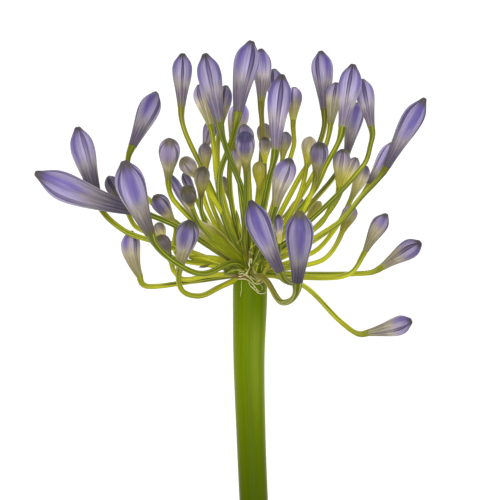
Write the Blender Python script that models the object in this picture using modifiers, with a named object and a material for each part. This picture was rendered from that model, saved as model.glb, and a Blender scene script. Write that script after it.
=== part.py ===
# Agapanthus flower head in bud, cut from its plant and lying on a surface.
#
# A thick scape ends in a small dome, the receptacle. Thin pedicels grow from the dome, fan out and arch
# up towards the light, and each carries one closed bud. The green parts are one growth and one solid.
# Each bud is a solid of its own, because it drops from its pedicel by itself.
#
# The head is laid out in millimetres in its own frame, whose origin is the middle of the receptacle:
# across is to the right, along is from the cut end towards the buds, and toward is up off the surface.
# The stem's cut end and two buds on the underside touch the surface, so the whole head leans.

import math

import bmesh
import bpy
from mathutils import Matrix, Vector

MM = 0.001
WELD = 0.00001                # metres: points nearer than this are one point
GAP = 0.3                     # between a pedicel's flat end and its bud
LEAN = 15.0                   # degrees that the scape rises from its cut end to the receptacle
HEAD_AT = (7.7, 12.1, 36.5)   # the receptacle's place over the surface

STEM_LENGTH = 120.0           # from the cut end to the receptacle
DOME_HEART = Vector((0.0, -2.0, 0.0))
ROOT_DEPTH = 3.0              # from the dome's heart to where a pedicel begins, inside the dome
STEM_SIDES = 6                # bevel resolution, which makes 16 sides
PEDICEL_SIDES = 1             # bevel resolution, which makes 6 sides
PEDICEL_STEP = 7.5            # greatest length of a pedicel's straight pieces
PEDICEL_BEND = 12.0           # greatest bend in degrees from one piece to the next
PEDICEL_END = 1.5             # last stretch, straight along the bud
PEDICEL_THIN = 0.85           # radius under a bud as wide as SMALL_BUD
PEDICEL_STOUT = 1.15          # radius under a bud as wide as BIG_BUD
SMALL_BUD, BIG_BUD = 4.0, 10.0
NECK = 0.8                    # radius of a pedicel's end, as a share of the bud's foot
ARCH = 0.6                    # 0 starts a pedicel straight at its end, 1 makes its curve a round arc

# The scape and its dome: along, across, radius
STEM = [
    (-STEM_LENGTH, 3.0, 5.6), (-93.0, 1.5, 5.65), (-65.0, 0.35, 5.8), (-36.0, -0.4, 6.2),
    (-12.0, 0.0, 6.8), (-5.0, 0.0, 6.7), (-2.5, 0.0, 6.4), (0.0, 0.0, 5.6), (2.0, 0.0, 4.0),
    (3.0, 0.0, 2.4),
]

# The papery remnant of the bract that wrapped the young head
BRACT_ROOT = Vector((-1.5, 1.4, 4.5))
BRACT_TIP = Vector((-20.4, 17.6, 22.0))
BRACT_WIDTH = 6.4
BRACT_THICK = 0.7

# A bud's radius along its length, as shares of its length and of its greatest radius
STATIONS = (0.0, 0.25, 0.50, 0.70, 0.86, 0.95, 1.0)
RIPE_SHAPE = (0.42, 0.64, 0.88, 1.0, 0.74, 0.39, 0.0)
YOUNG_SHAPE = (0.34, 0.56, 0.88, 1.0, 0.85, 0.52, 0.0)
BUD_STEPS = 12                # two for each of the six tepals: its back and the groove beside it
RIB = 0.06                    # how far backs stand out and grooves lie in, as a share of the radius
GOLDEN_ANGLE = 137.5

# Each bud: base, tip, greatest width, ripeness, turn about its axis, and the points that its pedicel
# passes on the way out. A turn of 0 has a tepal's back facing up, and 30 the groove between two.
BUDS = [
    ((-45, 23, 0), (-85.5, 38, 8), 10.8, 1.0, 8, [(-28, 16, 2)]),
    ((-61.8, 28, -16), (-70.5, 57.5, -22), 9.2, 0.95, -15, [(-38, 10.5, -4), (-51.5, 15.5, -10)]),
    ((-51, 24.5, -24), (-58.5, 37.5, -34), 6.2, 0.6, None, [(-45.5, 16, -19)]),
    ((-38.7, 14, 40), (-47.6, 40.7, 62), 10.6, 0.95, 0, [(-7, 2, 11), (-19.5, -2, 26), (-32, 4.5, 33)]),
    ((-44.5, -3.5, -10), (-48.5, 15, -14), 7.5, 0.6, 24, [(-24, -5.5, -3), (-40.5, -7.5, -7)]),
    ((-49, 50, -42), (-39.3, 73.5, -54.8), 8.6, 0.9, 0, [(-48, 34, -35)]),
    ((-28, 65.4, -22), (-27.5, 87.5, -21), 7.6, 0.85, 47, [(-19.5, 40.5, -17), (-26.5, 55.5, -22)]),
    ((-12.1, 57.3, 10), (-18, 85.5, 6), 8.9, 1.0, -41, [(-3, 30, 15), (-8, 43.5, 15)]),
    ((-16, 57.5, -10), (-20.5, 74.5, -16), 6.9, 0.6, None, [(-12, 29, -3), (-14.5, 47.5, -8)]),
    ((-12.5, 57, -32), (-10, 75.5, -42), 6.2, 0.55, None, []),
    ((-4.7, 61.3, 14), (0.5, 90.5, 6), 9.5, 1.0, -12, [(-11, 22, 8), (-12, 37, 6), (-7.5, 50, 9)]),
    ((4.5, 67, -12), (4.5, 89, -16), 7.3, 0.8, 10, [(5, 51.5, -10)]),
    ((10.3, 65, -34), (10.1, 82.5, -44), 6.6, 0.75, None, []),
    ((10, 46.5, 24), (12.5, 76, 26), 8.5, 0.9, 56, [(7.5, 35.5, 24)]),
    ((17.5, 59.5, -14), (18, 73.5, -20), 6.4, 0.45, 45, [(17.5, 48.5, -10)]),
    ((-32.5, 36, 6), (-31.5, 50.5, 22), 7.9, 0.3, -15, [(-30, 26.5, 2)]),
    ((-1.5, 38.5, 30), (-2, 52.5, 44), 7.0, 0.3, 28, [(-2, 13, 13)]),
    ((-1, 41.5, -6), (-2.5, 58, -8), 7.0, 0.5, None, []),
    ((-7, 49.5, -18), (-3.5, 67.5, -24), 8.1, 0.6, None, []),
    ((-18.6, 48, -20), (-14.8, 60.5, -24), 5.8, 0.4, None, []),
    ((-17.8, 39, -12), (-18.4, 50.5, -15), 5.2, 0.25, None, []),
    ((-19.2, 28.2, 28), (-18.3, 39.1, 38), 5.8, 0.15, None, []),
    ((-20.2, 35.5, 20), (-26.2, 42.5, 30), 6.1, 0.2, None, []),
    ((-22.5, 24, 34), (-24.5, 31, 45), 6.0, 0.1, None, []),
    ((-22.7, 19.5, -16), (-32.4, 38, -22), 3.9, 0.5, None, []),
    ((-22, 27.5, -28), (-27.5, 39, -36), 4.0, 0.45, None, []),
    ((-27.4, 1.3, 18), (-23.2, 18.6, 31), 8.4, 0.6, -15, [(-12, -7.5, 7), (-20, -11, 11), (-27, -8.5, 14)]),
    ((-32, 3.7, 4), (-36.2, 12.6, 11), 6.6, 0.2, None, [(-17, -3, 1), (-26.5, -4.5, 2), (-30.5, -1, 3)]),
    ((-35.5, 9.5, -20), (-37.6, 18.3, -26), 4.9, 0.2, None, [(-18, 1.5, -9), (-30, 3.5, -16)]),
    ((-31, 18.5, -6), (-38, 29, 2), 6.7, 0.45, 10, [(-18, 1.5, -1), (-27.5, 3.5, -4), (-30.5, 9, -7.5)]),
    ((22.8, 41.5, -8), (24.3, 53, -12), 5.7, 0.1, None, []),
    ((26, 37, 18), (27.5, 49, 28), 6.8, 0.3, 5, []),
    ((30.5, 64.5, -24), (29, 89, -28), 8.5, 0.95, 20, [(18.6, 34, -14), (28, 50, -20)]),
    ((32.5, 58, -8), (35, 75, -12), 6.5, 0.6, None, [(24.5, 35.8, -8)]),
    ((36.5, 55.5, 14), (41, 81, 10), 8.3, 0.9, 44, [(25.5, 31, 11), (30, 40.5, 12)]),
    ((40.2, 47.5, -38.6), (45.2, 69, -55.0), 7.1, 0.8, 0, [(28.7, 30.4, -27), (34.6, 37.4, -33)]),
    ((48.5, 56, 2), (45, 76, -6), 7.0, 0.85, 44, [(31.5, 26, 5), (45.5, 41.5, 5), (48, 49, 4)]),
    ((54.5, 40.5, 2), (69.5, 67.5, 10), 8.1, 0.95, 15, [(34.5, 17.5, 2), (44.5, 28.5, 3)]),
    ((48.5, 34, -26), (58.5, 51.5, -32), 5.0, 0.75, None, []),
    ((35.5, 32.5, 2), (37, 47.5, 5), 6.6, 0.3, None, [(27.5, 17, 1), (33, 26, 2)]),
    ((37, 31.5, -6), (43, 44.5, -10), 5.4, 0.3, None, []),
    ((41.1, 28, -17), (47.5, 41.5, -19), 5.7, 0.3, None, [(25, 6, -8), (33.5, 14.5, -13)]),
    ((10, 24.5, 34), (15.5, 42.5, 42), 8.0, 0.75, 0, []),
    ((11.5, -1, 52), (0, 26, 60), 9.0, 1.0, 0, [(10, -3, 22), (17, -5.5, 42)]),
    ((18, -5, 56), (18.6, 22, 66), 10.0, 1.0, 45, [(6.5, -5, 24), (12.5, -13, 42)]),
    ((11.5, 10, 24), (11, 21, 30), 3.6, 0.5, None, []),
    ((37.1, 14.5, -7), (41.6, 25, -11), 6.0, 0.45, None, [(24, 1.5, -4), (31, 4.5, -6)]),
    ((46, 7, 6), (54.3, 21.6, 10), 6.4, 0.6, 15, [(30, -4, 4), (40, -2, 5)]),
    ((53.5, 0.5, -8), (68.8, 10.3, -4), 7.4, 0.7, 38, [(32, -2.5, -5), (48, -2, -8)]),
    ((47.5, -26, -4), (65, -21, -2), 7.3, 0.75, -30, [(20.5, -6.5, 0), (37.5, -22.5, -3)]),
    ((5.5, 48, -22), (6, 59, -28), 5.7, 0.2, None, []),
    ((6, 42, -2), (6, 52.5, 0), 4.6, 0.0, None, []),
    ((13, 44, 2), (14.5, 54.5, 0), 5.2, 0.2, None, []),
    ((3.5, 31.5, 13), (3.5, 42, 18), 4.8, 0.0, None, []),
    ((-4.6, 37, -2), (-5.6, 48, -1), 4.4, 0.2, None, []),
    ((-8.5, 28, -30), (-11, 37.5, -36), 3.1, 0.1, None, []),
    ((22, 16.8, -28), (29.1, 27.2, -36), 4.1, 0.1, None, []),
    ((14.5, 21.5, -33), (22, 28, -43), 4.0, 0.1, None, []),
]

# How far the middle of a bent bud lies to the left of the line from its base to its tip, seen from above
BOWED = {
    1: 1.5, 2: 0.5, 4: 0.7, 5: 1.4, 11: 0.5, 12: -0.4, 14: 0.4, 33: -0.3, 38: 0.4, 43: 0.6, 44: 0.5,
    45: -0.3, 48: 0.4, 49: 0.3, 50: -0.6,
}

# Colours: red, green, blue as a renderer mixes them
STEM_GREEN = (0.16, 0.24, 0.015)
YOUNG_BUD = (0.42, 0.42, 0.24)
RIPE_BUD = (0.22, 0.18, 0.46)


def clear_scene():
    for old in list(bpy.data.objects):
        bpy.data.objects.remove(old, do_unlink=True)


def material(name, colour, roughness):
    finish = bpy.data.materials.new(name)
    finish.use_nodes = True
    shader = finish.node_tree.nodes["Principled BSDF"]
    shader.inputs["Base Color"].default_value = (*colour, 1.0)
    shader.inputs["Roughness"].default_value = roughness
    shader.inputs["Metallic"].default_value = 0.0
    return finish


def mixed(first, second, share):
    return tuple(a + (b - a) * share for a, b in zip(first, second))


def new_collection(name):
    group = bpy.data.collections.new(name)
    bpy.context.scene.collection.children.link(group)
    return group


def new_object(name, data, group, parent=None):
    thing = bpy.data.objects.new(name, data)
    group.objects.link(thing)
    thing.parent = parent
    return thing


def solid_tube(name, points, radii, sides, group):
    # A round stem through the points, closed at both ends, in metres
    curve = bpy.data.curves.new(name, "CURVE")
    curve.dimensions = "3D"
    curve.bevel_depth = MM
    curve.bevel_resolution = sides
    curve.use_fill_caps = True
    spline = curve.splines.new("POLY")
    spline.points.add(len(points) - 1)
    for knot, place, radius in zip(spline.points, points, radii):
        knot.co = (*(place * MM), 1.0)
        knot.radius = radius
    drawn = new_object(name + "_curve", curve, group)
    return made_mesh(name, drawn, group)


def made_mesh(name, drawn, group):
    # The evaluated shape of a curve or a modified mesh, welded into one closed mesh
    graph = bpy.context.evaluated_depsgraph_get()
    mesh = bpy.data.meshes.new_from_object(drawn.evaluated_get(graph))
    shape = bmesh.new()
    shape.from_mesh(mesh)
    bmesh.ops.remove_doubles(shape, verts=shape.verts, dist=WELD)
    bmesh.ops.recalc_face_normals(shape, faces=shape.faces)
    shape.to_mesh(mesh)
    shape.free()
    solid = new_object(name, mesh, group)
    solid.matrix_world = drawn.matrix_world
    bpy.data.objects.remove(drawn, do_unlink=True)
    return solid


def hermite(start, end, start_way, end_way, share):
    reach = (end - start).length
    a, b = share * share, share * share * share
    return (
        start * (2 * b - 3 * a + 1) + start_way * reach * (b - 2 * a + share)
        + end * (3 * a - 2 * b) + end_way * reach * (b - a)
    )


def pedicel_course(base, bud_way, passing):
    # Points from inside the dome to just below the bud, on one smooth arch
    straight = base - bud_way * (GAP + PEDICEL_END)
    outward = ((passing + [straight])[0] - DOME_HEART).normalized()
    knots = [DOME_HEART + outward * ROOT_DEPTH] + passing + [straight]
    ways = [None] * len(knots)
    ways[-1] = bud_way
    for i in range(1, len(knots) - 1):
        ways[i] = (knots[i + 1] - knots[i - 1]).normalized()
    chord = (knots[1] - knots[0]).normalized()
    mirrored = chord * (2 * ways[1].dot(chord)) - ways[1]
    ways[0] = chord.lerp(mirrored, ARCH).normalized()

    course = [knots[0]]
    for i in range(len(knots) - 1):
        span = knots[i + 1] - knots[i]
        bend = math.degrees(ways[i].angle(span) + span.angle(ways[i + 1]))
        pieces = max(1, round(span.length / PEDICEL_STEP), round(bend / PEDICEL_BEND))
        for step in range(1, pieces + 1):
            course.append(hermite(knots[i], knots[i + 1], ways[i], ways[i + 1], step / pieces))
    course.append(base - bud_way * GAP)
    return course


def pedicel(number, bud, group):
    base, tip, width, ripeness, turn, passing = bud
    base, tip = Vector(base), Vector(tip)
    bud_way = (tip - base).normalized()
    course = pedicel_course(base, bud_way, [Vector(point) for point in passing])
    share = max(0.0, min(1.0, (width - SMALL_BUD) / (BIG_BUD - SMALL_BUD)))
    stout = PEDICEL_THIN + (PEDICEL_STOUT - PEDICEL_THIN) * share
    neck = NECK * base_radius(width, ripeness)
    radii = [stout] * len(course)
    radii[-1] = neck
    radii[-2] = 0.5 * (stout + neck)
    return solid_tube("pedicel_%02d" % number, course, radii, PEDICEL_SIDES, group)


def bract(group):
    # A thin keeled wedge, narrow at its root and blunt at its papery end
    length = (BRACT_TIP - BRACT_ROOT).length
    shape = bmesh.new()
    bmesh.ops.create_grid(shape, x_segments=4, y_segments=6, size=0.5)
    for vert in shape.verts:
        side, share = vert.co.x * 2.0, vert.co.y + 0.5
        # Broadest four fifths of the way out, its corners drawn back, its middle line raised
        half = 0.5 * BRACT_WIDTH * (0.4 + 0.7 * math.sin(math.pi * 0.55 * share))
        blunt = 1.0 - 0.08 * side * side * share
        keel = 0.18 * half * (1.0 - side * side)
        vert.co = Vector((side * half, share * length * blunt, keel)) * MM
    mesh = bpy.data.meshes.new("bract")
    shape.to_mesh(mesh)
    shape.free()
    flat = new_object("bract_sheet", mesh, group)
    wall = flat.modifiers.new("wall", "SOLIDIFY")
    wall.thickness = BRACT_THICK * MM
    wall.offset = 0.0
    way = (BRACT_TIP - BRACT_ROOT).normalized()
    sideways = way.cross(Vector((0.0, 0.0, 1.0))).normalized()
    turned = Matrix((sideways, way, sideways.cross(way))).transposed().to_4x4()
    flat.matrix_world = Matrix.Translation(BRACT_ROOT * MM) @ turned
    return made_mesh("bract", flat, group)


def green_parts(group, head):
    # The scape with its dome, joined with every pedicel and the bract into one solid
    growth = new_collection("growing_from_the_dome")
    for number, bud in enumerate(BUDS, 1):
        pedicel(number, bud, growth)
    bract(growth)
    places = [Vector((across, along, 0.0)) for along, across, radius in STEM]
    scape = solid_tube("scape", places, [radius for along, across, radius in STEM], STEM_SIDES, group)
    join = scape.modifiers.new("join", "BOOLEAN")
    join.operation = "UNION"
    join.operand_type = "COLLECTION"
    join.collection = growth
    bpy.context.view_layer.update()
    graph = bpy.context.evaluated_depsgraph_get()
    whole = bpy.data.meshes.new_from_object(scape.evaluated_get(graph))
    for part in list(growth.objects) + [scape]:
        bpy.data.objects.remove(part, do_unlink=True)
    bpy.data.collections.remove(growth)
    whole.materials.clear()
    whole.materials.append(material("stem_green", STEM_GREEN, 0.45))
    whole.shade_smooth()
    whole.set_sharp_from_angle(angle=math.radians(50))
    return new_object("scape_with_pedicels", whole, group, head)


def base_radius(width, ripeness):
    return 0.5 * width * (YOUNG_SHAPE[0] + (RIPE_SHAPE[0] - YOUNG_SHAPE[0]) * ripeness)


def bud_mesh(name, length, width, ripeness, bow):
    # A turned profile about +Z, with six low ribs for the backs of the tepals, bent to one side by bow
    shape = bmesh.new()
    verts = []
    for share, ripe, young in zip(STATIONS, RIPE_SHAPE, YOUNG_SHAPE):
        radius = 0.5 * width * (young + (ripe - young) * ripeness)
        verts.append(shape.verts.new((radius * MM, 0.0, share * length * MM)))
    foot = shape.verts.new((0.0, 0.0, 0.0))
    line = [foot] + verts
    edges = [shape.edges.new(pair) for pair in zip(line, line[1:])]
    bmesh.ops.spin(
        shape, geom=line + edges, cent=(0, 0, 0), axis=(0, 0, 1), angle=math.tau,
        steps=BUD_STEPS, use_merge=True,
    )
    bmesh.ops.remove_doubles(shape, verts=shape.verts, dist=WELD)
    bmesh.ops.recalc_face_normals(shape, faces=shape.faces)
    for vert in shape.verts:
        share = vert.co.z / (length * MM)
        swell = 1.0 + RIB * math.cos(6.0 * math.atan2(vert.co.y, vert.co.x)) * min(1.0, 3.0 * share)
        vert.co.x *= swell
        vert.co.y *= swell
        vert.co += bow * (4.0 * share * (1.0 - share) * MM)
    mesh = bpy.data.meshes.new(name)
    shape.to_mesh(mesh)
    shape.free()
    mesh.shade_smooth()
    mesh.set_sharp_from_angle(angle=math.radians(60))
    return mesh


def bud_turning(way, turn):
    # Local +Z along the bud, and local +X as near up off the surface as that allows
    face = (Vector((0.0, 0.0, 1.0)) - way * way.z).normalized()
    upright = Matrix((face, way.cross(face), way)).transposed().to_4x4()
    return upright @ Matrix.Rotation(math.radians(turn), 4, "Z")


def place_bud(number, bud, group, head):
    base, tip, width, ripeness, turn, passing = bud
    base, tip = Vector(base), Vector(tip)
    name = "bud_%02d" % number
    if turn is None:
        turn = (number * GOLDEN_ANGLE) % 60.0
    left = Matrix.Rotation(math.radians(-turn), 3, "Z") @ Vector((0.0, -1.0, 0.0))
    mesh = bud_mesh(name, (tip - base).length, width, ripeness, left * BOWED.get(number, 0.0))
    mesh.materials.append(material(name, mixed(YOUNG_BUD, RIPE_BUD, ripeness), 0.5))
    thing = new_object(name, mesh, group, head)
    way = (tip - base).normalized()
    thing.matrix_local = Matrix.Translation(base * MM) @ bud_turning(way, turn)
    return thing


def main():
    clear_scene()
    group = new_collection("agapanthus_flower_head")
    head = new_object("head", None, group)
    head.location = Vector(HEAD_AT) * MM
    head.rotation_euler = (math.radians(LEAN), 0.0, 0.0)
    green_parts(group, head)
    for number, bud in enumerate(BUDS, 1):
        place_bud(number, bud, group, head)
    bpy.context.view_layer.update()


main()
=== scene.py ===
# Agapanthus flower head in bud, cut and laid down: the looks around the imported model.
# Places in the tables are millimetres from the receptacle, in the head's own frame: across, along the
# stem away from its cut end, and up towards the camera. Colours are as seen, from 0 to 255.

import math
import random

import bmesh
import bpy
from mathutils import Matrix, Vector, noise


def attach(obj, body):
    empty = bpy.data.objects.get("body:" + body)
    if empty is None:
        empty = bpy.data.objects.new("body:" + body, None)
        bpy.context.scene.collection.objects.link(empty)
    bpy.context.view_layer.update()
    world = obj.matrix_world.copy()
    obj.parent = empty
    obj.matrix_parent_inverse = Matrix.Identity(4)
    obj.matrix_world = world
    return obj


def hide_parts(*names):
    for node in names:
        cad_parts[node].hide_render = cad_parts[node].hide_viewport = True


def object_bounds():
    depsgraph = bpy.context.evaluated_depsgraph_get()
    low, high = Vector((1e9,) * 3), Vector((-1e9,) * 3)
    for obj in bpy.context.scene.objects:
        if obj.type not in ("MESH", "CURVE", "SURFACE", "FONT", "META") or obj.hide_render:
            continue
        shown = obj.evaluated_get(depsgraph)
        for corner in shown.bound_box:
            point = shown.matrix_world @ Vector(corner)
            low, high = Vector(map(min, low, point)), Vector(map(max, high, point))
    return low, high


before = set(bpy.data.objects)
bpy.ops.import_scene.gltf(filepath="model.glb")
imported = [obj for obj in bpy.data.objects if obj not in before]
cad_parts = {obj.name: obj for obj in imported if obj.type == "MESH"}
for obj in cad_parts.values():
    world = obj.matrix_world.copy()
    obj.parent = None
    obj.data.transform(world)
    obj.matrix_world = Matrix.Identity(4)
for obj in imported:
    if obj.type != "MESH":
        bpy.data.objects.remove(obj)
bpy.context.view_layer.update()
print("frame loaded:", len(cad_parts), "nodes")

mm = 0.001
head = {
    "at": (7.7, 12.1, 36.5),   # the receptacle's place over the surface
    "lean": 15.0,              # degrees that the scape rises from its cut end
}
headFrame = (
    Matrix.Scale(mm, 4) @ Matrix.Translation(head["at"])
    @ Matrix.Rotation(math.radians(head["lean"]), 4, "X")
)
greenNode = "scape_with_pedicels"

# Each bud: base, tip, greatest width, ripeness, turn about its axis, and the points its pedicel passes
buds = [
    ((-45, 23, 0), (-85.5, 38, 8), 10.8, 1, 8, [(-28, 16, 2)]),
    ((-61.8, 28, -16), (-70.5, 57.5, -22), 9.2, 0.95, -38, [(-38, 10.5, -4), (-51.5, 15.5, -10)]),
    ((-51, 24.5, -24), (-58.5, 37.5, -34), 6.2, 0.6, None, [(-45.5, 16, -19)]),
    ((-38.7, 14, 40), (-47.6, 40.7, 62), 10.6, 0.95, 5, [(-7, 2, 11), (-19.5, -2, 26), (-32, 4.5, 33)]),
    ((-44.5, -3.5, -10), (-48.5, 15, -14), 7.5, 0.6, -24, [(-24, -5.5, -3), (-40.5, -7.5, -7)]),
    ((-49, 50, -42), (-39.3, 73.5, -54.8), 8.6, 0.9, -12, [(-48, 34, -35)]),
    ((-28, 65.4, -22), (-27.5, 87.5, -21), 7.6, 0.85, -56, [(-19.5, 40.5, -17), (-26.5, 55.5, -22)]),
    ((-12.1, 57.3, 10), (-18, 85.5, 6), 8.9, 1, -59, [(-3, 30, 15), (-8, 43.5, 15)]),
    ((-16, 57.5, -10), (-20.5, 74.5, -16), 6.9, 0.6, None, [(-12, 29, -3), (-14.5, 47.5, -8)]),
    ((-12.5, 57, -32), (-10, 75.5, -42), 6.2, 0.55, None, []),
    ((-4.7, 61.3, 14), (0.5, 90.5, 6), 9.5, 1, -32, [(-11, 22, 8), (-12, 37, 6), (-7.5, 50, 9)]),
    ((4.5, 67, -12), (4.5, 89, -16), 7.3, 0.8, 10, [(5, 51.5, -10)]),
    ((10.3, 65, -34), (10.1, 82.5, -44), 6.6, 0.75, None, []),
    ((10, 46.5, 24), (12.5, 76, 26), 8.5, 0.9, -55, [(7.5, 35.5, 24)]),
    ((17.5, 59.5, -14), (18, 73.5, -20), 6.4, 0.45, 45, [(17.5, 48.5, -10)]),
    ((-32.5, 36, 6), (-31.5, 50.5, 22), 7.9, 0.3, -8, [(-30, 26.5, 2)]),
    ((-1.5, 38.5, 30), (-2, 52.5, 44), 7, 0.3, -4, [(-2, 13, 13)]),
    ((-1, 41.5, -6), (-2.5, 58, -8), 7, 0.5, None, []),
    ((-7, 49.5, -18), (-3.5, 67.5, -24), 8.1, 0.6, None, []),
    ((-18.6, 48, -20), (-14.8, 60.5, -24), 5.8, 0.4, None, []),
    ((-17.8, 39, -12), (-18.4, 50.5, -15), 5.2, 0.25, None, []),
    ((-19.2, 28.2, 28), (-18.3, 39.1, 38), 5.8, 0.15, None, []),
    ((-20.2, 35.5, 20), (-26.2, 42.5, 30), 6.1, 0.2, None, []),
    ((-22.5, 24, 34), (-24.5, 31, 45), 6, 0.1, None, []),
    ((-22.7, 19.5, -16), (-32.4, 38, -22), 3.9, 0.5, None, []),
    ((-22, 27.5, -28), (-27.5, 39, -36), 4, 0.45, None, []),
    ((-27.4, 1.3, 18), (-23.2, 18.6, 31), 8.4, 0.6, -15, [(-12, -7.5, 7), (-20, -11, 11), (-27, -8.5, 14)]),
    ((-32, 3.7, 4), (-36.2, 12.6, 11), 6.6, 0.2, None, [(-17, -3, 1), (-26.5, -4.5, 2), (-30.5, -1, 3)]),
    ((-35.5, 9.5, -20), (-37.6, 18.3, -26), 4.9, 0.2, None, [(-18, 1.5, -9), (-30, 3.5, -16)]),
    ((-31, 18.5, -6), (-38, 29, 2), 6.7, 0.45, -20, [(-18, 1.5, -1), (-27.5, 3.5, -4), (-30.5, 9, -7.5)]),
    ((22.8, 41.5, -8), (24.3, 53, -12), 5.7, 0.1, None, []),
    ((26, 37, 18), (27.5, 49, 28), 6.8, 0.3, -20, []),
    ((30.5, 64.5, -24), (29, 89, -28), 8.5, 0.95, 29, [(18.6, 34, -14), (28, 50, -20)]),
    ((32.5, 58, -8), (35, 75, -12), 6.5, 0.6, None, [(24.5, 35.8, -8)]),
    ((36.5, 55.5, 14), (41, 81, 10), 8.3, 0.9, 54, [(25.5, 31, 11), (30, 40.5, 12)]),
    ((40.2, 47.5, -38.6), (45.2, 69, -55), 7.1, 0.8, 0, [(28.7, 30.4, -27), (34.6, 37.4, -33)]),
    ((48.5, 56, 2), (45, 76, -6), 7, 0.85, 58, [(31.5, 26, 5), (45.5, 41.5, 5), (48, 49, 4)]),
    ((54.5, 40.5, 2), (69.5, 67.5, 10), 8.1, 0.95, 10, [(34.5, 17.5, 2), (44.5, 28.5, 3)]),
    ((48.5, 34, -26), (58.5, 51.5, -32), 5, 0.75, None, []),
    ((35.5, 32.5, 2), (37, 47.5, 5), 6.6, 0.3, 58, [(27.5, 17, 1), (33, 26, 2)]),
    ((37, 31.5, -6), (43, 44.5, -10), 5.4, 0.3, None, []),
    ((41.1, 28, -17), (47.5, 41.5, -19), 5.7, 0.3, None, [(25, 6, -8), (33.5, 14.5, -13)]),
    ((10, 24.5, 34), (15.5, 42.5, 42), 8, 0.75, -43, []),
    ((11.5, -1, 52), (0, 26, 60), 9, 1, -8, [(10, -3, 22), (17, -5.5, 42)]),
    ((18, -5, 56), (18.6, 22, 66), 10, 1, 2, [(6.5, -5, 24), (12.5, -13, 42)]),
    ((11.5, 10, 24), (11, 21, 30), 3.6, 0.5, None, []),
    ((37.1, 14.5, -7), (41.6, 25, -11), 6, 0.45, None, [(24, 1.5, -4), (31, 4.5, -6)]),
    ((46, 7, 6), (54.3, 21.6, 10), 6.4, 0.6, 0, [(30, -4, 4), (40, -2, 5)]),
    ((53.5, 0.5, -8), (68.8, 10.3, -4), 7.4, 0.7, 47, [(32, -2.5, -5), (48, -2, -8)]),
    ((47.5, -26, -4), (65, -21, -2), 7.3, 0.75, -40, [(20.5, -6.5, 0), (37.5, -22.5, -3)]),
    ((5.5, 48, -22), (6, 59, -28), 5.7, 0.2, None, []),
    ((6, 42, -2), (6, 52.5, 0), 4.6, 0, None, []),
    ((13, 44, 2), (14.5, 54.5, 0), 5.2, 0.2, None, []),
    ((3.5, 31.5, 13), (3.5, 42, 18), 4.8, 0, None, []),
    ((-4.6, 37, -2), (-5.6, 48, -1), 4.4, 0.2, None, []),
    ((-8.5, 28, -30), (-11, 37.5, -36), 3.1, 0.1, None, []),
    ((22, 16.8, -28), (29.1, 27.2, -36), 4.1, 0.1, None, []),
    ((14.5, 21.5, -33), (22, 28, -43), 4, 0.1, None, []),
]

# How far the middle of a bent bud lies to the left of the line from its base to its tip
bowed = {
    1: 1.5, 2: 0.5, 4: 0.7, 5: 1.4, 11: 0.5, 12: -0.4, 14: 0.4, 33: -0.3, 38: 0.4, 43: 0.6, 44: 0.5,
    45: -0.3, 48: 0.4, 49: 0.3, 50: -0.6,
}


# Helpers for shapes

joinedWithin = 0.0005      # corners of a sheet that lie nearer to each other become one


def alongTable(table, share):
    # A smooth curve through the table's pairs of place and value
    share = min(max(share, table[0][0]), table[-1][0])
    i = 0
    while i < len(table) - 2 and share > table[i + 1][0]:
        i += 1
    (x0, y0), (x1, y1) = table[i], table[i + 1]
    xBefore, yBefore = table[max(i - 1, 0)]
    xAfter, yAfter = table[min(i + 2, len(table) - 1)]
    slopeIn, slopeOut = (y1 - yBefore) / (x1 - xBefore), (yAfter - y0) / (xAfter - x0)
    wide = x1 - x0
    t = (share - x0) / wide
    a, b = t * t, t * t * t
    return (
        y0 * (2 * b - 3 * a + 1) + slopeIn * wide * (b - 2 * a + t)
        + y1 * (3 * a - 2 * b) + slopeOut * wide * (b - a)
    )


def alongMark(given):
    # A mark that is one number, or a table from the piece's start to its end: pairs of place and value,
    # or plain values that are evenly spaced
    if not isinstance(given, list):
        return given
    if not isinstance(given[0], tuple):
        given = [(i / (len(given) - 1), value) for i, value in enumerate(given)]
    return lambda share: alongTable(given, share)


def ease(low, high, value):
    t = min(max((value - low) / (high - low), 0.0), 1.0)
    return t * t * (3.0 - 2.0 * t)


def newShape(*marks):
    # An empty bmesh with a UV map and a number on each vertex for every mark
    shape = bmesh.new()
    shape.loops.layers.uv.new("UVMap")
    for mark in marks:
        shape.verts.layers.float.new(mark)
    return shape


def addWrapped(shape, around, along, place, **marks):
    # A sheet of squares whose corners go where place(column, row) says: point, u and v.
    # A mark is one number, or a function of v.
    uvLayer = shape.loops.layers.uv.active
    verts = bmesh.ops.create_grid(shape, x_segments=around, y_segments=along, size=0.5)["verts"]
    spots = {}
    for vert in verts:
        column, row = round((vert.co.x + 0.5) * around), round((vert.co.y + 0.5) * along)
        point, u, v = place(column, row)
        vert.co = point
        spots[vert] = (u, v)
    for face in {face for vert in verts for face in vert.link_faces}:
        for loop in face.loops:
            loop[uvLayer].uv = spots[loop.vert]
    for mark, value in marks.items():
        layer = shape.verts.layers.float[mark]
        for vert in verts:
            vert[layer] = value(spots[vert][1]) if callable(value) else value
    bmesh.ops.remove_doubles(shape, verts=verts, dist=joinedWithin)


def addObject(name, data):
    made = bpy.data.objects.new(name, data)
    bpy.context.scene.collection.objects.link(made)
    return made


def finishPiece(shape, name, material, node, sharp=None):
    # The bmesh becomes an object in the row's frame, which rides on the body and stands for its node
    shape.transform(headFrame)
    bmesh.ops.recalc_face_normals(shape, faces=shape.faces)
    mesh = bpy.data.meshes.new(name)
    shape.to_mesh(mesh)
    shape.free()
    mesh.materials.append(material)
    mesh.shade_smooth()
    if sharp is not None:
        mesh.set_sharp_from_angle(angle=math.radians(sharp))
    piece = addObject(name, mesh)
    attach(piece, "root")
    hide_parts(node)
    return piece


def ringed(turn, radius, height):
    return Vector((math.cos(turn) * radius, math.sin(turn) * radius, height))


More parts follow.
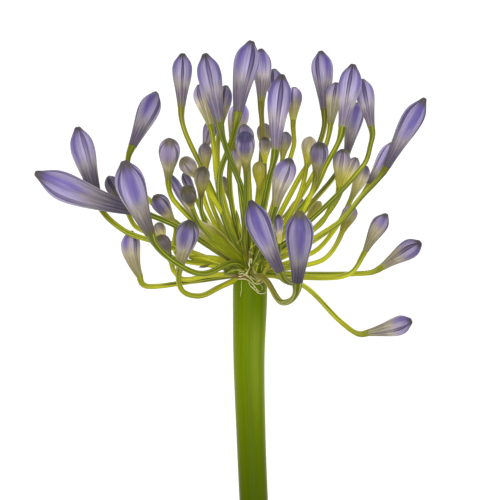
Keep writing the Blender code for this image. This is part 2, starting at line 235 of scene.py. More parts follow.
def roundStem(turn, radius, along):
    return Vector((math.cos(turn) * radius, along, math.sin(turn) * radius))


def coursePoint(start, end, startWay, endWay, t):
    reach = (end - start).length
    a, b = t * t, t * t * t
    return (
        start * (2 * b - 3 * a + 1) + startWay * reach * (b - 2 * a + t)
        + end * (3 * a - 2 * b) + endWay * reach * (b - a)
    )


def waysAlong(points):
    # The way of the line through the points at each of them
    last = len(points) - 1
    return [(points[min(i + 1, last)] - points[max(i - 1, 0)]).normalized() for i in range(last + 1)]


def smoothCourse(knots, ways, step, least):
    # Points about a step apart on a smooth line through the knots, with the least number from knot to knot
    course = [knots[0]]
    for i in range(len(knots) - 1):
        pieces = max(least, round((knots[i + 1] - knots[i]).length / step))
        for part in range(1, pieces + 1):
            course.append(coursePoint(knots[i], knots[i + 1], ways[i], ways[i + 1], part / pieces))
    return course


def sideways(course):
    # Two directions across the course at each of its points, which don't twist along it
    ways = waysAlong(course)
    across = ways[0].orthogonal().normalized()
    found = []
    for i, way in enumerate(ways):
        if i:
            across = ways[i - 1].rotation_difference(way) @ across
        across = (across - way * across.dot(way)).normalized()
        found.append((across, way.cross(across)))
    return found


def addTube(shape, course, radii, sides, ridge=0.0, ridges=6, flat=1.0, **marks):
    # A stem along the course, closed at both ends, with low ridges along it, or a flat blade
    frames = sideways(course)
    last = len(course) - 1

    def place(column, row):
        inner = min(max(row - 1, 0), last)
        turn = math.tau * column / sides
        radius = radii[inner] * (1.0 + ridge * math.cos(ridges * turn))
        if row == 0 or row == last + 2:
            radius = 0.0
        across, up = frames[inner]
        point = course[inner] + (across * math.cos(turn) + up * math.sin(turn) * flat) * radius
        return point, column / sides, inner / last

    addWrapped(shape, sides, last + 2, place, **marks)


# Helpers for materials

def seen(red, green, blue):
    # A colour as seen, turned into the renderer's own linear numbers
    return tuple((((part / 255 + 0.055) / 1.055) ** 2.4) for part in (red, green, blue)) + (1.0,)


class wire:
    # A node's output while a material is made: arithmetic with it puts in Math nodes
    def __init__(self, socket):
        self.socket = socket
        self.tree = socket.id_data

    def __add__(self, other):
        return sums("ADD", self, other)

    def __sub__(self, other):
        return sums("SUBTRACT", self, other)

    def __rsub__(self, other):
        return sums("SUBTRACT", other, self)

    def __mul__(self, other):
        return sums("MULTIPLY", self, other)

    def __truediv__(self, other):
        return sums("DIVIDE", self, other)


def plug(node, given):
    # Gives each named input of the node a number, a colour or a wire
    for name, value in given.items():
        if isinstance(value, wire):
            node.id_data.links.new(value.socket, node.inputs[name])
        else:
            node.inputs[name].default_value = value


def put(tree, kind, given=None, output=0, **settings):
    # A new shader node with its inputs plugged, as a wire from one of its outputs
    made = tree.nodes.new("ShaderNode" + kind)
    for name, value in settings.items():
        setattr(made, name, value)
    plug(made, given or {})
    return wire(made.outputs[output])


def sums(operation, *values):
    tree = next(value.tree for value in values if isinstance(value, wire))
    return put(tree, "Math", dict(enumerate(values)), operation=operation)


def offWhole(value):
    # How far the value is from the nearest whole number
    return sums("ABSOLUTE", sums("WRAP", value, 0.5, -0.5))


def rise(value, low, high, least=0.0, most=1.0):
    # From least to most as the value passes from low to high
    return put(value.tree, "MapRange", {
        "Value": value, "From Min": low, "From Max": high, "To Min": least, "To Max": most,
    }, interpolation_type="SMOOTHSTEP")


def mixed(factor, *colours):
    # From the first colour to the second: each is a wire, or red, green and blue as seen
    first, second = (colour if isinstance(colour, wire) else seen(*colour) for colour in colours)
    return put(factor.tree, "Mix", {0: factor, 6: first, 7: second}, 2, data_type="RGBA")


def brightened(colour, value):
    return put(value.tree, "HueSaturation", {"Color": colour, "Value": value})


def ramp(factor, stops):
    made = put(factor.tree, "ValToRGB", {"Fac": factor})
    marks = made.socket.node.color_ramp.elements
    for i, (place, colour) in enumerate(stops):
        mark = marks[i] if i < 2 else marks.new(place)
        mark.position = place
        mark.color = seen(*colour)
    return made


def attributes(tree, *names):
    # The numbers that the piece's vertices carry
    return [put(tree, "Attribute", output="Fac", attribute_name=name, attribute_type="GEOMETRY")
            for name in names]


def makeFibreGrain():
    # Streaks along a stem or tepal and soft blotches on it
    tree = bpy.data.node_groups.new("fibreGrain", "ShaderNodeTree")
    asked = ("Around", "Along", "Seed", "Fineness", "Stretch")
    for name in asked:
        tree.interface.new_socket(name, in_out="INPUT", socket_type="NodeSocketFloat")
    for name in ("Streak", "Blotch"):
        tree.interface.new_socket(name, in_out="OUTPUT", socket_type="NodeSocketFloat")
    start = tree.nodes.new("NodeGroupInput")
    around, along, seed, fineness, stretch = (wire(start.outputs[name]) for name in asked)
    fine = put(tree, "CombineXYZ", {0: around * fineness, 1: along * stretch, 2: seed})
    soft = put(tree, "CombineXYZ", {0: around * 1.1, 1: along * 3.5, 2: seed + 17.0})
    plug(tree.nodes.new("NodeGroupOutput"), {
        "Streak": put(tree, "TexNoise", {"Vector": fine, "Scale": 1.0, "Detail": 3.0, "Roughness": 0.6}),
        "Blotch": put(tree, "TexNoise", {"Vector": soft, "Scale": 1.0, "Detail": 2.0}),
    })
    return tree


fibreGrain = makeFibreGrain()


def grainOf(around, along, seed, fineness, stretch):
    # Streaks and blotches
    streak = put(around.tree, "Group", {
        "Around": around, "Along": along, "Seed": seed, "Fineness": fineness, "Stretch": stretch,
    }, node_tree=fibreGrain)
    return streak, wire(streak.socket.node.outputs["Blotch"])


def startMaterial(name, roughness, softness, depth):
    # A material with its own UV split in two, and a Principled shader with a little light inside
    material = bpy.data.materials.new(name)
    material.use_nodes = True
    tree = material.node_tree
    shader = tree.nodes["Principled BSDF"]
    plug(shader, {
        "Roughness": roughness, "Specular IOR Level": 0.22, "Subsurface Weight": softness,
        "Subsurface Radius": (1.0, 0.9, 0.6), "Subsurface Scale": depth * mm,
    })
    around = put(tree, "SeparateXYZ", {0: put(tree, "UVMap", uv_map="UVMap")})
    return material, tree, shader, around, wire(around.socket.node.outputs["Y"])


def raised(height, strength, distance):
    return put(height.tree, "Bump", {"Height": height, "Strength": strength, "Distance": distance * mm})


# Buds

tepalLook = {
    "green": [       # ripeness 0, from base to tip
        (0, (138, 144, 6)), (0.12, (144, 142, 16)), (0.3, (162, 156, 44)), (0.42, (162, 154, 66)),
        (0.55, (148, 138, 76)), (0.7, (128, 117, 82)), (0.85, (112, 102, 74)), (1, (84, 78, 50)),
    ],
    "turning": [     # ripeness about a half
        (0, (138, 138, 18)), (0.12, (146, 139, 66)), (0.3, (164, 153, 94)), (0.42, (175, 163, 118)),
        (0.53, (166, 152, 134)), (0.68, (138, 126, 146)), (0.85, (124, 112, 138)), (1, (92, 86, 84)),
    ],
    "ripe": [        # ripeness 1
        (0, (118, 118, 44)), (0.06, (111, 102, 106)), (0.2, (114, 103, 124)), (0.32, (133, 123, 138)),
        (0.44, (165, 155, 165)), (0.56, (160, 149, 178)), (0.74, (141, 128, 175)), (0.9, (106, 94, 138)),
    ],
    "blush": (192, 184, 160),        # cream where tube and tepals meet
    "cream": (186, 175, 148),        # the paler lower half of some buds
    "heart": (74, 66, 102),          # dark middle of a tepal on a bud that still turns
    "band": (95, 81, 165),           # soft violet down the middle of an outer tepal
    "pale": (184, 174, 213),
    "vein": (68, 56, 84),            # thin dark lines of the tube
    "margin": (66, 54, 100),
    "marginPale": (198, 190, 214),
    "cap": (80, 74, 60),
    "olive": (158, 150, 40),
}


def makeTepalSkin():
    look = tepalLook
    material, tree, shader, around, along = startMaterial("tepalSkin", 0.45, 0.15, 1.4)
    ripeness, seed, paintedLightAndTone, olive, late, cream, heart, soft = attributes(tree, "ripeness", "seed", *budMarks)
    streak, blotch = grainOf(around, along, seed, 7.0, 1.4)
    veins = grainOf(around, along, seed, 15.0, 2.4)[0]
    wisp = grainOf(around, along, seed + 40.0, 9.0, 5.0)[0]
    side = offWhole(around)                                 # 0 on a tepal's midline
    inner = sums("PINGPONG", sums("ROUND", around), 1.0)    # 1 on the inner tepals
    outer = 1.0 - inner

    shift = (streak - 0.5) * 0.2 + (blotch - 0.5) * 0.14
    place = along + shift - late
    colour = mixed(rise(ripeness, 0.0, 0.4), ramp(place, look["green"]), ramp(place, look["turning"]))
    colour = mixed(rise(ripeness, 0.5, 0.92), colour, ramp(place, look["ripe"]))

    # Cream patches above the tube, beside the midline
    patch = rise(place, 0.24, 0.38) * rise(place, 0.56, 0.44) * rise(side, 0.3, 0.12, 0.3, 1.0)
    patch *= rise(wisp, 0.45, 0.6, 0.0, 0.75) * rise(ripeness, 0.6, 1.0, 0.9, 0.6)
    colour = mixed(patch, colour, look["blush"])
    creamy = cream * rise(place, 0.6, 0.4) * rise(veins, 0.3, 0.65, 0.7, 1.1)
    colour = mixed(creamy, colour, look["cream"])

    # Pale flanks and the violet band of the free part
    flank = rise(side, 0.14, 0.26) * rise(side, 0.45, 0.36) * rise(place, 0.4, 0.6)
    flank *= rise(along, 0.96, 0.8) * rise(ripeness, 0.2, 0.9, 0.2, 0.5) * rise(streak, 0.3, 0.6, 0.5, 1.0)
    colour = mixed(flank, colour, look["pale"])
    spread = rise(blotch, 0.25, 0.75, 0.19, 0.33) + heart * 0.08
    band = rise(side / spread, 1.0, heart * 0.5 + 0.1) * outer * rise(place, 0.34, 0.7)
    band *= sums("MAXIMUM", rise(ripeness, 0.1, 0.8, 0.2, 0.78), heart) * rise(streak, 0.3, 0.6, 0.45, 1.0)
    colour = mixed(band, colour, mixed(heart, look["band"], look["heart"]))

    # Dark veins of the tube: on the midline and halfway to the margin
    vein = rise(offWhole(around * 4.0), 0.24, 0.08) * rise(place, 0.46, 0.26)
    vein *= rise(ripeness, 0.3, 0.9, 0.12, 0.72) * rise(streak, 0.35, 0.55, 0.35, 1.0)
    colour = mixed(vein, colour, look["vein"])

    # Between two outer tepals a dark strip of the inner one, partly its own darker colour and partly
    # painted shade in the crease under the outer margins, and a paler rim on each side of it
    rim = rise(side, 0.36, 0.44) * outer * rise(along, 0.3, 0.6, 0.1, 0.5)
    colour = mixed(rim * rise(streak, 0.35, 0.6, 0.5, 1.0), colour, look["marginPale"])
    gap = sums("MAXIMUM", inner * rise(side, 0.05, 0.4, 0.6, 1.0), rise(side, 0.45, 0.476) * 0.8)
    gap *= rise(place, 0.22, 0.68, 0.22, 0.84) * rise(ripeness, 0.0, 0.5, 0.35, 1.0) * (1.0 - soft)
    colour = mixed(gap, colour, look["margin"])

    # A brown cap on the tip, and a dark violet one where the heart is at its full
    dark = rise(heart, 0.75, 1.0)
    cap = rise(along + shift * 0.5 + dark * 0.08, 0.87, 0.97, 0.0, 0.85)
    colour = mixed(cap, colour, mixed(dark, look["cap"], look["heart"]))
    colour = mixed(olive, colour, look["olive"])
    # The first mark brightens or darkens the whole bud: painted light and shade, along with its own tone
    value = rise(veins, 0.28, 0.72, 0.82, 1.14) * paintedLightAndTone * rise(blotch, 0.2, 0.8, 0.9, 1.08)
    value *= rise(streak, 0.3, 0.7, 0.93, 1.07)
    plug(shader, {
        "Base Color": brightened(colour, value),
        "Roughness": rise(streak, 0.2, 0.8, 0.38, 0.55),
        "Normal": raised(veins + streak * 0.6, 0.35, 0.12),
    })
    return material


budShape = {
    "rows": 31,              # along the bud between its foot and its shoulder
    "tipRows": 12,
    "outerColumns": 14,
    "innerColumns": 6,
    "outerHalf": 50,         # degrees to each side that an outer tepal covers
    "halfSpread": 3.5,       # how much that differs from bud to bud
    "edgeAngle": 1.2,        # degrees that its margin's step takes
    "step": 0.03,            # height of the step, as a share of the bud's width
    "back": 0.05,            # how far an outer tepal's back stands out
    "innerBack": 0.03,
    "innerLow": 0.03,        # how far an inner tepal's sides lie in
    "midrib": 0.012,
    "tube": (0.2, 0.55),     # shares of the length between which the tepals part from their tube
    "waver": 1.8,            # degrees that a margin wanders
    "tipHalf": 2,            # degrees more that an outer tepal covers at the tip
    "mostHalf": 56.5,
    "twist": 7,              # most degrees that a bud is twisted
    "rough": 0.016,
    "tipRough": 0.14,        # how much more its tip is crumpled
    "foot": 0.03,            # the even rows start at the foot and end at the shoulder
    "shoulder": 0.9,
    "chance": 500,
    "sharp": 42,             # degrees from which an edge stays sharp
    "ripe": [
        (0, 0.42), (0.1, 0.49), (0.25, 0.64), (0.38, 0.76), (0.5, 0.88), (0.6, 0.965), (0.68, 1),
        (0.76, 0.965), (0.82, 0.87), (0.87, 0.71), (0.92, 0.5), (0.95, 0.385), (0.975, 0.3),
        (0.992, 0.22), (1, 0.1),
    ],
    "young": [
        (0, 0.34), (0.1, 0.42), (0.25, 0.56), (0.38, 0.74), (0.5, 0.88), (0.62, 0.98), (0.7, 1),
        (0.78, 0.96), (0.86, 0.85), (0.92, 0.66), (0.95, 0.52), (0.975, 0.38), (0.992, 0.26), (1, 0.12),
    ],
}

# What sets single buds apart, as one number or from base to tip: the first mark makes a bud lighter or
# darker, which is painted light and shade, where a bud lies in light or in the shade of others, together
# with the bud's own tone; olive makes it greener, late moves the colours up, cream pales the lower half,
# heart darkens the tepals' middles, soft fades the dark lines between them, and point draws the tip out
budMarks = ("paintedLightAndTone", "olive", "late", "cream", "heart", "soft")
budLooks = {
    1: {"point": 0.2, "soft": 0.3, "paintedLightAndTone": [(0, 0.5), (0.3, 0.75), (0.6, 1), (1, 1.18)]},
    2: {"soft": 0.45, "paintedLightAndTone": [(0, 0.32), (0.3, 0.6), (0.6, 1.07), (1, 0.93)]},
    3: {"paintedLightAndTone": [(0, 0.33), (0.6, 0.34), (1, 0.4)]},
    4: {"paintedLightAndTone": [0.66, 1.03, 1.14], "olive": [(0, 0.15), (0.4, 0.2), (0.6, 0), (1, 0)]},
    5: {"late": 0.05, "cream": 0.3, "paintedLightAndTone": [1.12, 1.21, 1.4]},
    6: {"late": -0.05, "paintedLightAndTone": [0.89, 0.85, 0.87]},
    7: {"late": 0.04, "cream": 0.15, "paintedLightAndTone": [(0, 1.2), (0.4, 1.12), (0.8, 0.94), (1, 0.86)]},
    8: {"soft": 0.25, "paintedLightAndTone": [1.31, 1.07, 0.82]},
    9: {"late": 0.1, "cream": 0.3, "paintedLightAndTone": 1.7},
    10: {"paintedLightAndTone": [0.82, 0.86, 0.68]},
    11: {"late": -0.03, "paintedLightAndTone": [1.05, 1, 0.98]},
    12: {"late": 0.05, "paintedLightAndTone": [1.75, 1.55, 0.95]},
    13: {"paintedLightAndTone": [1.1, 0.72]},
    14: {"paintedLightAndTone": [(0, 1.7), (0.3, 1.5), (0.6, 1.08), (1, 0.92)]},
    15: {"heart": 0.5, "paintedLightAndTone": [2.05, 0.72, 2.5]},
    16: {"heart": 0.3, "cream": 0.15, "paintedLightAndTone": [0.97, 1.2, 1.8]},
    17: {
        "heart": 1,
        "paintedLightAndTone": [(0, 0.72), (0.5, 1.25), (0.8, 1.35), (0.9, 0.92), (1, 0.92)],
        "olive": [(0, 0.3), (0.4, 0.5), (0.65, 0.1), (0.75, 0), (1, 0)],
    },
    18: {"paintedLightAndTone": 1.28, "olive": [(0, 0), (0.6, 0), (1, 0.15)]},
    19: {"paintedLightAndTone": [1.2, 1.6, 3.4]},
    20: {"late": -0.3, "paintedLightAndTone": [0.34, 1.43, 2.1]},
    21: {"paintedLightAndTone": [1.15, 0.92, 0.66], "olive": [0.7, 0.25, 0.12]},
    22: {"paintedLightAndTone": [0.33, 0.97, 0.62], "olive": [1, 0.65, 0.1]},
    23: {"paintedLightAndTone": [(0, 1.8), (0.4, 1.65), (1, 1.3)], "olive": [(0, 0.7), (0.3, 0.35), (1, 0.12)]},
    24: {"heart": 0.4, "paintedLightAndTone": [(0, 1.95), (0.3, 0.65), (0.6, 0.4), (1, 0.74)], "olive": 0.15},
    25: {"late": -0.15, "paintedLightAndTone": [(0, 1.2), (0.6, 1.35), (1, 0.85)]},
    26: {"late": -0.25, "heart": 0.3, "paintedLightAndTone": [1, 1, 0.62]},
    27: {"heart": 0.25, "paintedLightAndTone": [1.16, 1, 0.84]},
    28: {"paintedLightAndTone": [0.78, 0.75, 1], "olive": [(0, 0), (0.6, 0), (1, 0.2)]},
    29: {"paintedLightAndTone": [2.2, 2, 0.76], "olive": [(0, 0), (0.6, 0.1), (1, 0.3)]},
    30: {"heart": 0.7, "paintedLightAndTone": [1.7, 1.05, 1.08]},
    31: {"paintedLightAndTone": [1.5, 1.6, 2.3], "olive": 0.25},
    32: {"heart": 0.3, "paintedLightAndTone": [0.85, 0.83, 0.89]},
    33: {"paintedLightAndTone": [1.13, 0.94, 1.02]},
    34: {"late": 0.12, "cream": 0.45, "paintedLightAndTone": [0.92, 1.41, 1.02]},
    35: {"paintedLightAndTone": [(0, 1.78), (0.4, 1.37), (0.7, 1.12), (1, 0.86)]},
    36: {"late": -0.1, "paintedLightAndTone": [0.71, 1.18, 1.25]},
    37: {"paintedLightAndTone": [1.4, 1.19, 1.21]},
    38: {"late": -0.05, "point": 0.2, "paintedLightAndTone": [0.79, 0.97, 0.98]},
    39: {"late": -0.15, "paintedLightAndTone": [0.58, 1.5, 2.4]},
    40: {"late": 0.05, "heart": 0.4, "paintedLightAndTone": [1.4, 1.47, 1.08], "olive": [0.6, 0.25, 0]},
    41: {"paintedLightAndTone": [2.8, 2.48, 0.7], "olive": [(0, 0.8), (0.6, 0.4), (1, 0)]},
    42: {"late": 0.15, "cream": 0.3, "heart": 0.5, "paintedLightAndTone": [0.88, 1.5, 0.57], "olive": [0.3, 0, 0]},
    43: {
        "late": 0.1, "cream": 0.25,
        "paintedLightAndTone": [1.07, 1.28, 0.88],
        "olive": [(0, 0.3), (0.6, 0.15), (1, 0)],
    },
    44: {"late": -0.08, "point": 0.25, "paintedLightAndTone": [(0, 0.73), (0.5, 0.9), (0.8, 0.9), (1, 0.73)]},
    45: {
        "late": -0.1,
        "paintedLightAndTone": [(0, 0.38), (0.5, 0.72), (0.8, 0.88), (1, 0.71)],
        "olive": [(0, 0), (0.88, 0), (1, 0.5)],
    },
    46: {"paintedLightAndTone": [3.6, 1.5, 0.78]},
    47: {
        "late": 0.1, "heart": 0.4,
        "paintedLightAndTone": [0.98, 0.89, 1.45],
        "olive": [(0, 1), (0.6, 0.2), (1, 0.1)],
    },
    48: {"late": 0.14, "cream": 0.5, "point": 0.3, "paintedLightAndTone": [0.82, 0.87, 1.03]},
    49: {"late": 0.04, "cream": 0.2, "paintedLightAndTone": [(0, 1.4), (0.3, 1.13), (0.5, 0.87), (1, 0.8)]},
    50: {"late": 0.08, "cream": 0.45, "paintedLightAndTone": [1.04, 1.07, 0.81]},
    51: {"paintedLightAndTone": 0.94},
    52: {"paintedLightAndTone": [2.8, 1.7, 0.83]},
    53: {"paintedLightAndTone": [1.25, 0.88, 1.04]},
    54: {"paintedLightAndTone": [1.2, 1.47, 1.3], "olive": [(0, 1), (0.6, 0.95), (1, 0.52)]},
    55: {"paintedLightAndTone": 1.56},
    56: {"paintedLightAndTone": [1.1, 1.13, 1.28]},
    57: {"paintedLightAndTone": [1.35, 1.36, 1.56], "olive": 0.7},
    58: {"paintedLightAndTone": 1.3},
}


def tepalColumns():
    # Once round the bud: tepal number, place on it from -1 to 1, and whether it is an outer one
    columns = []
    for tepal in range(-3, 4):
        outer = tepal % 2 == 0
        pieces = budShape["outerColumns"] if outer else budShape["innerColumns"]
        for i in range(pieces + 1):
            across = 2.0 * i / pieces - 1.0
            if not (tepal == -3 and across < 0.0) and not (tepal == 3 and across > 0.0):
                columns.append((tepal, across, outer))
    return columns


def budRows():
    # Share of the length and share of the radius from the middle of the foot to the middle of the tip
    foot, shoulder = budShape["foot"], budShape["shoulder"]
    even, tip = budShape["rows"], budShape["tipRows"]
    rows = [(0.0, 0.0), (0.0, 0.88), (0.006, 1.0)]
    rows += [(foot + (shoulder - foot) * i / even, 1.0) for i in range(even + 1)]
    for i in range(1, tip + 1):
        rows.append((shoulder + (1.0 - shoulder) * math.sin(0.5 * math.pi * i / tip), 1.0))
    return rows + [(0.997, 0.0)]


def footRadius(width, ripeness):
    young, ripe = budShape["young"][0][1], budShape["ripe"][0][1]
    return 0.5 * width * (young + (ripe - young) * ripeness)


def budTurning(way, turn):
    # Local +Z along the bud, and local +X as near up as that allows
    face = (Vector((0.0, 0.0, 1.0)) - way * way.z).normalized()
    upright = Matrix((face, way.cross(face), way)).transposed().to_4x4()
    return upright @ Matrix.Rotation(math.radians(turn), 4, "Z")


def makeBud(number, bud, material):
    base, tip, width, ripeness, turn, passing = bud
    base, tip = Vector(base), Vector(tip)
    length = (tip - base).length
    look = budLooks[number]
    chance = random.Random(budShape["chance"] + number)
    seed, twist = chance.uniform(0.0, 90.0), chance.uniform(-budShape["twist"], budShape["twist"])
    marks = {name: alongMark(look.get(name, 0.0)) for name in budMarks}
    outerHalf = budShape["outerHalf"] + budShape["halfSpread"] * chance.uniform(-1.0, 1.0)
    if turn is None:
        turn = (number * 137.5) % 60.0
    left = Matrix.Rotation(math.radians(-turn), 3, "Z") @ Vector((0.0, -1.0, 0.0))
    bow = left * bowed.get(number, 0.0)
    columns, rows = tepalColumns(), budRows()

    def place(column, row):
        tepal, across, outer = columns[column]
        share, fill = rows[row]
        ripe, young = alongTable(budShape["ripe"], share), alongTable(budShape["young"], share)
        radius = 0.5 * width * (young + (ripe - young) * ripeness)
        radius *= 1.0 - look.get("point", 0.0) * ease(0.72, 1.0, share) * 0.5
        free = ease(*budShape["tube"], share)
        waver = budShape["waver"] * noise.noise((share * 4.0, seed, 0.0))
        half = outerHalf + waver + budShape["tipHalf"] * ease(0.7, 1.0, share)
        half = min(half, budShape["mostHalf"])
        if outer:
            level = budShape["back"] * (1.0 - across * across) - 0.015
            level += free * budShape["step"] * 2.0 * (1.0 - 0.35 * ease(0.9, 1.0, share))
        else:
            half = 60.0 - half - budShape["edgeAngle"]
            level = budShape["innerBack"] * (1.0 - across * across) - budShape["innerLow"] * across * across
        level -= budShape["midrib"] * math.exp(-(across / 0.14) ** 2) * ease(0.02, 0.1, share)
        angle = math.radians(60.0 * tepal + across * half + twist * (share - 0.5))
        round3 = math.cos(3.0 * angle)
        crumpled = budShape["rough"] + budShape["tipRough"] * ease(0.9, 1.0, share)
        level += crumpled * noise.noise(ringed(angle, 1.5, share * 5.0 + seed))
        radius *= (1.0 + level * min(1.0, 3.0 * share + 0.35)) * fill
        high = share * length - 0.012 * width * (1.0 - round3) * ease(0.95, 1.0, share)
        point = ringed(angle, radius, high) + bow * (4.0 * share * (1.0 - share))
        u = tepal + across * (0.48 if outer else 0.47)
        return point, u, share

    shape = newShape("ripeness", "seed", *marks)
    addWrapped(shape, len(columns) - 1, len(rows) - 1, place, ripeness=ripeness, seed=seed, **marks)
    way = (tip - base).normalized()
    shape.transform(Matrix.Translation(base) @ budTurning(way, turn))
    finishPiece(shape, "tepals_%02d" % number, material, "bud_%02d" % number, budShape["sharp"])


def makeBuds():
    material = makeTepalSkin()
    for number, bud in enumerate(buds, 1):
        makeBud(number, bud, material)
    print("buds made:", len(buds))


# Pedicels

stalk = {
    "heart": (0, -2, 0),         # middle of the dome that they grow from
    "rootDepth": 3,
    "gap": 0.3,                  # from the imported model's stalk to its bud, which the real one fills
    "straight": 1.5,
    "arch": 0.6,
    "thin": 0.85,                # radius under a narrow bud
    "stout": 1.15,               # radius under a wide bud
    "narrow": 4,
    "wide": 10,
    "sides": 18,
    "ridge": 0.035,
    "step": 1.15,
    "neck": 8,                   # length over which a stalk widens to its bud
    "sunk": 0.25,                # how far its end goes into the bud's foot
    "foot": 0.95,                # its end's radius, as a share of the bud's foot
    "swell": 0.22,               # how much stouter it is at its root
    "swellLength": 4,
    "rough": 0.06,
    "least": 2,                  # steps from knot to knot
    "chance": 900,
    "sharp": 60,
}

# tone runs from yellow-green at 0 to deep green at 1, blush from none to brown; either may be a table
# from the stalk's root to its end
stalkLooks = {
    1: (1.1, 0), 2: ([(0, 0.4), (0.6, 0.3), (1, -0.2)], 0), 4: ([1.4, 1.3, 1.15], 0),
    5: ([(0, 0.6), (0.6, 0.5), (1, 0)], [(0, 0.3), (0.6, 0.3), (1, 0.15)]), 6: (0.75, 0),
    7: (0.25, [(0, 0), (0.45, 0.1), (0.7, 0.55), (1, 0.5)]), 8: (1.2, 0), 9: ([0.1, 0.6], 0),
    11: (1.15, 0.1), 12: (0.5, [(0, 0), (0.5, 0.3), (0.7, 0.9), (1, 0.8)]), 14: (1.15, 0),
    15: (0, [(0, 0), (0.5, 0), (0.8, 0.25), (1, 0.3)]), 16: ([0.2, 0.65], 0),
    17: (0.8, 0), 19: ([0.7, 0.3], 0), 22: (0.9, 0),
    27: (0.1, [(0, 0.2), (0.4, 0.4), (1, 0)]), 28: (0, 0), 30: (0.2, 0), 31: (0.1, 0),
    32: (0.5, [(0, 0), (0.75, 0), (0.88, 0.5), (1, 0.7)]),
    33: ([(0, 0.2), (0.6, 0.3), (1, 0.8)], [(0, 0), (0.5, 0.1), (0.8, 0.5), (1, 0.4)]),
    34: (0.2, 0.1), 35: ([(0, 0.8), (0.5, 0.6), (0.8, 0.65), (1, 1)], 0), 36: (0.6, 0.3),
    37: ([(0, 0.6), (0.6, 0.85), (1, 1.1)], 0.1),
    38: ([0.3, 0.3, 1.2], [(0, 0.1), (0.8, 0.1), (1, 0.45)]), 43: (0.9, 0), 44: (0.7, 0.2),
    45: ([(0, 1), (0.6, 0.5), (1, 0.95)],
         [(0, 0.8), (0.35, 0.9), (0.7, 0.6), (0.85, 0.2), (1, 0.1)]),
    46: (0.8, 0.1), 48: (0.5, 0), 49: (0.5, 0), 50: (0.35, [(0, 0), (0.6, 0.1), (1, 0.3)]),
    52: (0.2, 0), 54: (0.3, 0),
}

stalkLook = {
    "root": (160, 162, 30),
    "fresh": (205, 206, 28),
    "deep": (100, 116, 2),
    "neck": (144, 150, 14),
    "brown": (116, 95, 50),
    "ridgeHighlight": (208, 212, 90),
    "sheen": (236, 236, 150),
}


def makeStalkSkin():
    look = stalkLook
    material, tree, shader, around, along = startMaterial("stalkSkin", 0.4, 0.15, 1.2)
    tone, blush, seed = attributes(tree, "tone", "blush", "seed")
    turns = around * 6.0
    streak, blotch = grainOf(turns, along, seed, 2.6, 3.0)
    # A lighter and a darker side along each stalk, placed by noise: painted light and shade
    faces = grainOf(around, along, seed + 23.0, 2.2, 1.2)[0]
    depth = tone + rise(faces, 0.4, 0.6, -0.45, 0.45)
    colour = mixed(rise(depth, -0.1, 1.1), look["fresh"], look["deep"])
    root = rise(along + blotch * 0.1, 0.3, 0.05, 0.0, 0.6) * rise(tone, 1.0, 1.3, 1.0, 0.15)
    colour = mixed(root, colour, look["root"])
    neck = rise(along, 0.8, 1.0, 0.0, 0.6) * rise(tone, 0.6, 1.0, 1.0, 0.35)
    colour = mixed(neck, colour, look["neck"])
    worn = blush * rise(blotch, 0.25, 0.55, 0.5, 1.0) * rise(streak, 0.3, 0.6, 0.55, 1.0)
    colour = mixed(worn, colour, look["brown"])
    side = offWhole(turns)                # 0 on a ridge
    # Painted highlights along the ridges
    ridge = rise(side, 0.2, 0.03) * rise(streak, 0.35, 0.62, 0.1, 0.7) * rise(worn, 0.0, 1.0, 1.0, 0.3)
    colour = mixed(ridge, colour, look["ridgeHighlight"])
    # Painted shade in the grooves between the ridges; the stalk also darkens towards its bud end
    value = rise(side, 0.28, 0.48, 1.0, 0.78) * rise(streak, 0.25, 0.75, 0.84, 1.2)
    value *= rise(along, 0.72, 0.95, 1.0, 0.72)
    plug(shader, {
        "Base Color": brightened(colour, value),
        "Roughness": rise(streak, 0.2, 0.8, 0.34, 0.5),
        "Sheen Weight": 0.2, "Sheen Roughness": 0.4, "Sheen Tint": seen(*look["sheen"]),
        "Normal": raised(streak, 0.3, 0.12),
    })
    return material


def stalkCourse(base, budWay, passing):
    # From inside the dome to just inside the bud's foot, on one smooth arch
    heart = Vector(stalk["heart"])
    straight = base - budWay * (stalk["gap"] + stalk["straight"])
    outward = ((passing + [straight])[0] - heart).normalized()
    knots = [heart + outward * stalk["rootDepth"]] + passing + [straight]
    ways = [None] * len(knots)
    ways[-1] = budWay
    for i in range(1, len(knots) - 1):
        ways[i] = (knots[i + 1] - knots[i - 1]).normalized()
    chord = (knots[1] - knots[0]).normalized()
    mirrored = chord * (2 * ways[1].dot(chord)) - ways[1]
    ways[0] = chord.lerp(mirrored, stalk["arch"]).normalized()

    course = smoothCourse(knots, ways, stalk["step"], stalk["least"])
    course.append(base - budWay * 0.6 * stalk["straight"])
    course.append(base + budWay * stalk["sunk"])
    return course


def makePedicels(material):
    shape = newShape("tone", "blush", "seed")
    for number, (base, tip, width, ripeness, turn, passing) in enumerate(buds, 1):
        base, tip = Vector(base), Vector(tip)
        course = stalkCourse(base, (tip - base).normalized(), [Vector(point) for point in passing])
        broad = min(1.0, (width - stalk["narrow"]) / (stalk["wide"] - stalk["narrow"]))
        stout = stalk["thin"] + (stalk["stout"] - stalk["thin"]) * broad
        foot = stalk["foot"] * footRadius(width, ripeness)
        walked = [0.0]
        for before, after in zip(course, course[1:]):
            walked.append(walked[-1] + (after - before).length)
        chance = random.Random(stalk["chance"] + number)
        seed = chance.uniform(0.0, 60.0)
        # Unless the table gives it, a stalk that lies further back is paler yellow-green: painted light on
        # the stalks deep in the head, with some tone by chance
        tone = min(0.8, max(0.0, 0.16 + base.z / 90.0 + chance.uniform(-0.15, 0.2)))
        tone, blush = stalkLooks.get(number, (tone, 0.0))
        radii = []
        for far in walked:
            left = walked[-1] - far
            swell = 1.0 + stalk["swell"] * math.exp(-far / stalk["swellLength"])
            swell += stalk["rough"] * noise.noise((far * 0.15, seed, 0.0))
            radii.append(stout * swell + (foot - stout) * (1.0 - ease(0.0, stalk["neck"], left)) ** 1.3)
        addTube(shape, course, radii, stalk["sides"], ridge=stalk["ridge"], tone=alongMark(tone),
                blush=alongMark(blush), seed=seed)
    print("pedicels made:", len(shape.faces), "faces")
    finishPiece(shape, "pedicels", material, greenNode, stalk["sharp"])


